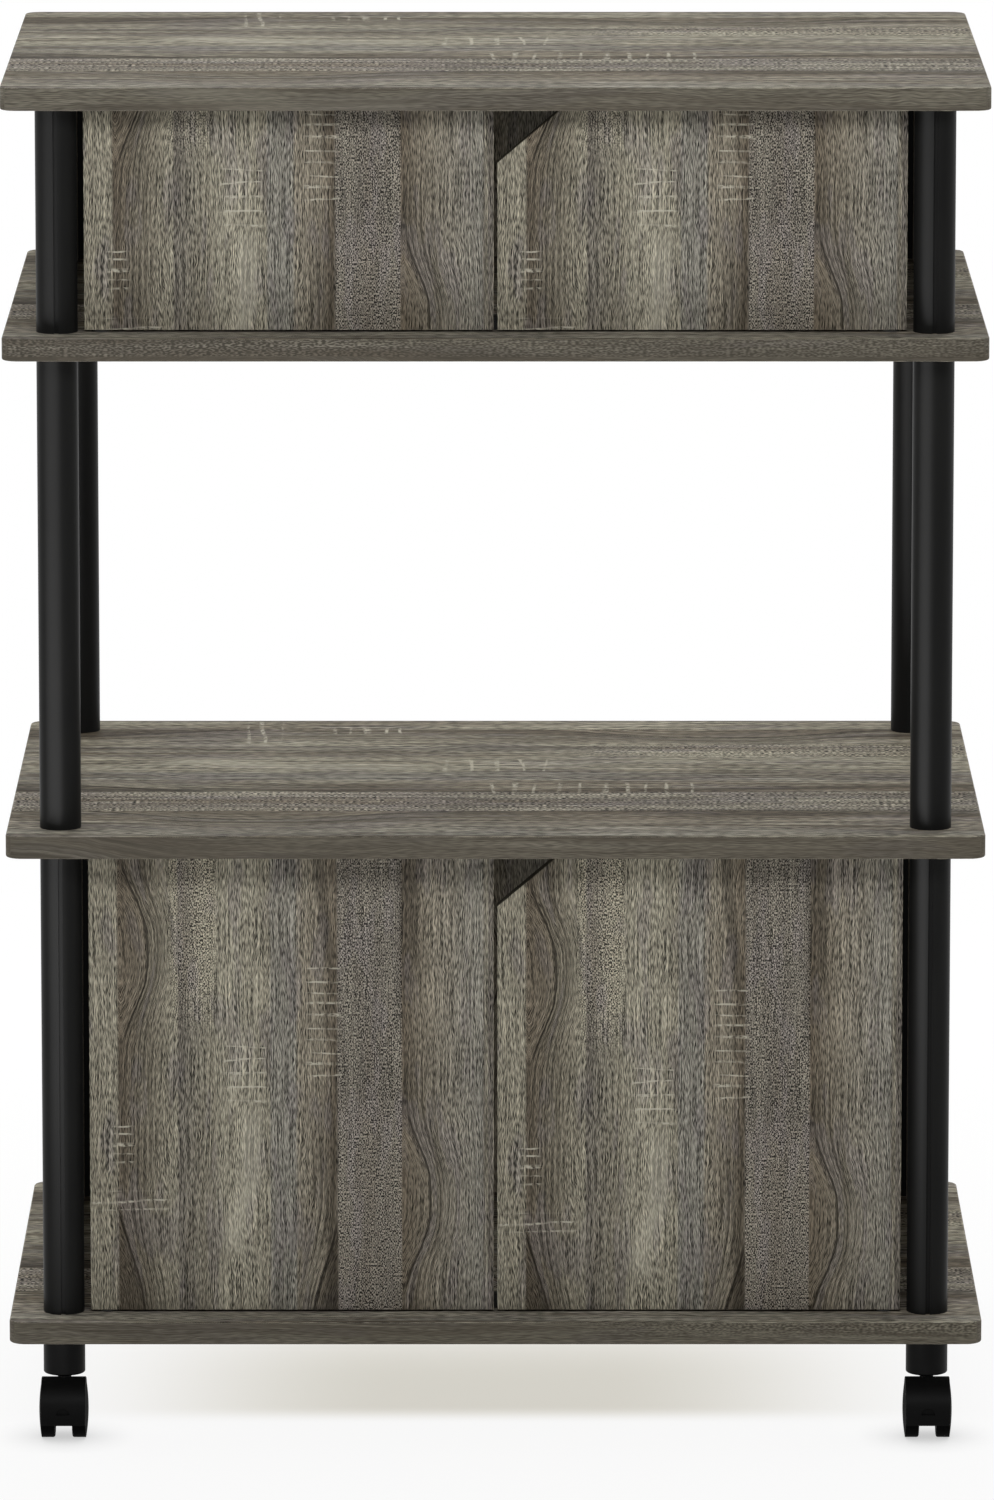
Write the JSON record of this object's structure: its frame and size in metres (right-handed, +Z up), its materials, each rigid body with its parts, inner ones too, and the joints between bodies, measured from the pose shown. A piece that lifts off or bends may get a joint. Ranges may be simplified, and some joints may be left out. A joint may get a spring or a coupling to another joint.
{
  "type": "kitchen storage cart",
  "caption": "Rolling kitchen storage cart: grey oak-look boards on black tubes, a short and a tall cabinet with pivoting doors, an open bay between them and swivelling casters.",
  "frame": {"origin": "on the floor, under the middle of the boards", "axes": "+Z up, +X to the right seen from the front, +Y from the front to the back"},
  "size_m": [0.6, 0.396, 0.8425],
  "materials": {
    "board_laminate": "matt grey oak print on board, grain along the width",
    "door_laminate": "matt grey oak print on board, grain upright",
    "panel_laminate": "matt grey oak print on thin board, grain upright",
    "tube_black": "satin black extruded tube",
    "foot_black": "satin black moulding",
    "caster_black": "fine-textured black moulding",
    "wheel_black": "hard black nylon",
    "hinge_plastic": "dark moulded plastic",
    "zinc_steel": "zinc-plated steel"
  },
  "bodies": {
    "frame": {"bottom_board": "board_laminate", "lower_shelf": "board_laminate", "upper_shelf": "board_laminate", "top_board": "board_laminate", "lower_tube_front_left": "tube_black", "lower_tube_front_right": "tube_black", "lower_tube_rear_left": "tube_black", "lower_tube_rear_right": "tube_black", "middle_tube_front_left": "tube_black", "middle_tube_front_right": "tube_black", "middle_tube_rear_left": "tube_black", "middle_tube_rear_right": "tube_black", "upper_tube_front_left": "tube_black", "upper_tube_front_right": "tube_black", "upper_tube_rear_left": "tube_black", "upper_tube_rear_right": "tube_black", "foot_front_left": "foot_black", "foot_front_right": "foot_black", "foot_rear_left": "foot_black", "foot_rear_right": "foot_black", "lower_side_panel_left": "panel_laminate", "lower_side_panel_right": "panel_laminate", "upper_side_panel_left": "panel_laminate", "upper_side_panel_right": "panel_laminate", "lower_back_panel": "panel_laminate", "upper_back_panel": "panel_laminate", "lower_door_stop": "hinge_plastic", "upper_door_stop": "hinge_plastic", "tube_plugs": "hinge_plastic", "joining_studs": "zinc_steel", "top_inserts": "zinc_steel", "top_studs": "zinc_steel", "pivot_bushes": "hinge_plastic", "stop_screws": "zinc_steel", "caster_stems": "zinc_steel"},
    "lower_door_left": {"lower_door_left": "door_laminate", "lower_pivot_pins_left": "zinc_steel"},
    "lower_door_right": {"lower_door_right": "door_laminate", "lower_pivot_pins_right": "zinc_steel"},
    "upper_door_left": {"upper_door_left": "door_laminate", "upper_pivot_pins_left": "zinc_steel"},
    "upper_door_right": {"upper_door_right": "door_laminate", "upper_pivot_pins_right": "zinc_steel"},
    "caster_front_left": {"caster_hood_front_left": "caster_black", "caster_axle_front_left": "zinc_steel"},
    "caster_wheel_front_left_left": {"caster_wheel_front_left_left": "wheel_black"},
    "caster_wheel_front_left_right": {"caster_wheel_front_left_right": "wheel_black"},
    "caster_front_right": {"caster_hood_front_right": "caster_black", "caster_axle_front_right": "zinc_steel"},
    "caster_wheel_front_right_left": {"caster_wheel_front_right_left": "wheel_black"},
    "caster_wheel_front_right_right": {"caster_wheel_front_right_right": "wheel_black"},
    "caster_rear_left": {"caster_hood_rear_left": "caster_black", "caster_axle_rear_left": "zinc_steel"},
    "caster_wheel_rear_left_left": {"caster_wheel_rear_left_left": "wheel_black"},
    "caster_wheel_rear_left_right": {"caster_wheel_rear_left_right": "wheel_black"},
    "caster_rear_right": {"caster_hood_rear_right": "caster_black", "caster_axle_rear_right": "zinc_steel"},
    "caster_wheel_rear_right_left": {"caster_wheel_rear_right_left": "wheel_black"},
    "caster_wheel_rear_right_right": {"caster_wheel_rear_right_right": "wheel_black"}
  },
  "joints": [
    {"name": "lower_door_left_hinge", "type": "hinge", "parent": "frame", "child": "lower_door_left", "pos_m": [-0.2404, -0.1635, 0.2225], "axis": [0, 0, -1], "range_deg": [0, 110]},
    {"name": "lower_door_right_hinge", "type": "hinge", "parent": "frame", "child": "lower_door_right", "pos_m": [0.2404, -0.1635, 0.2225], "axis": [0, 0, 1], "range_deg": [0, 110]},
    {"name": "upper_door_left_hinge", "type": "hinge", "parent": "frame", "child": "upper_door_left", "pos_m": [-0.2404, -0.1635, 0.759], "axis": [0, 0, -1], "range_deg": [0, 110]},
    {"name": "upper_door_right_hinge", "type": "hinge", "parent": "frame", "child": "upper_door_right", "pos_m": [0.2404, -0.1635, 0.759], "axis": [0, 0, 1], "range_deg": [0, 110]},
    {"name": "caster_front_left_swivel", "type": "hinge", "parent": "frame", "child": "caster_front_left", "pos_m": [-0.2672, -0.1652, 0.0376], "axis": [0, 0, 1], "continuous": true},
    {"name": "caster_wheel_front_left_left_spin", "type": "hinge", "parent": "caster_front_left", "child": "caster_wheel_front_left_left", "pos_m": [-0.2672, -0.1782, 0.018], "axis": [1, 0, 0], "continuous": true},
    {"name": "caster_wheel_front_left_right_spin", "type": "hinge", "parent": "caster_front_left", "child": "caster_wheel_front_left_right", "pos_m": [-0.2672, -0.1782, 0.018], "axis": [1, 0, 0], "continuous": true},
    {"name": "caster_front_right_swivel", "type": "hinge", "parent": "frame", "child": "caster_front_right", "pos_m": [0.2672, -0.1652, 0.0376], "axis": [0, 0, 1], "continuous": true},
    {"name": "caster_wheel_front_right_left_spin", "type": "hinge", "parent": "caster_front_right", "child": "caster_wheel_front_right_left", "pos_m": [0.2672, -0.1782, 0.018], "axis": [1, 0, 0], "continuous": true},
    {"name": "caster_wheel_front_right_right_spin", "type": "hinge", "parent": "caster_front_right", "child": "caster_wheel_front_right_right", "pos_m": [0.2672, -0.1782, 0.018], "axis": [1, 0, 0], "continuous": true},
    {"name": "caster_rear_left_swivel", "type": "hinge", "parent": "frame", "child": "caster_rear_left", "pos_m": [-0.2672, 0.1652, 0.0376], "axis": [0, 0, 1], "continuous": true},
    {"name": "caster_wheel_rear_left_left_spin", "type": "hinge", "parent": "caster_rear_left", "child": "caster_wheel_rear_left_left", "pos_m": [-0.2672, 0.1522, 0.018], "axis": [1, 0, 0], "continuous": true},
    {"name": "caster_wheel_rear_left_right_spin", "type": "hinge", "parent": "caster_rear_left", "child": "caster_wheel_rear_left_right", "pos_m": [-0.2672, 0.1522, 0.018], "axis": [1, 0, 0], "continuous": true},
    {"name": "caster_rear_right_swivel", "type": "hinge", "parent": "frame", "child": "caster_rear_right", "pos_m": [0.2672, 0.1652, 0.0376], "axis": [0, 0, 1], "continuous": true},
    {"name": "caster_wheel_rear_right_left_spin", "type": "hinge", "parent": "caster_rear_right", "child": "caster_wheel_rear_right_left", "pos_m": [0.2672, 0.1522, 0.018], "axis": [1, 0, 0], "continuous": true},
    {"name": "caster_wheel_rear_right_right_spin", "type": "hinge", "parent": "caster_rear_right", "child": "caster_wheel_rear_right_right", "pos_m": [0.2672, 0.1522, 0.018], "axis": [1, 0, 0], "continuous": true}
  ]
}
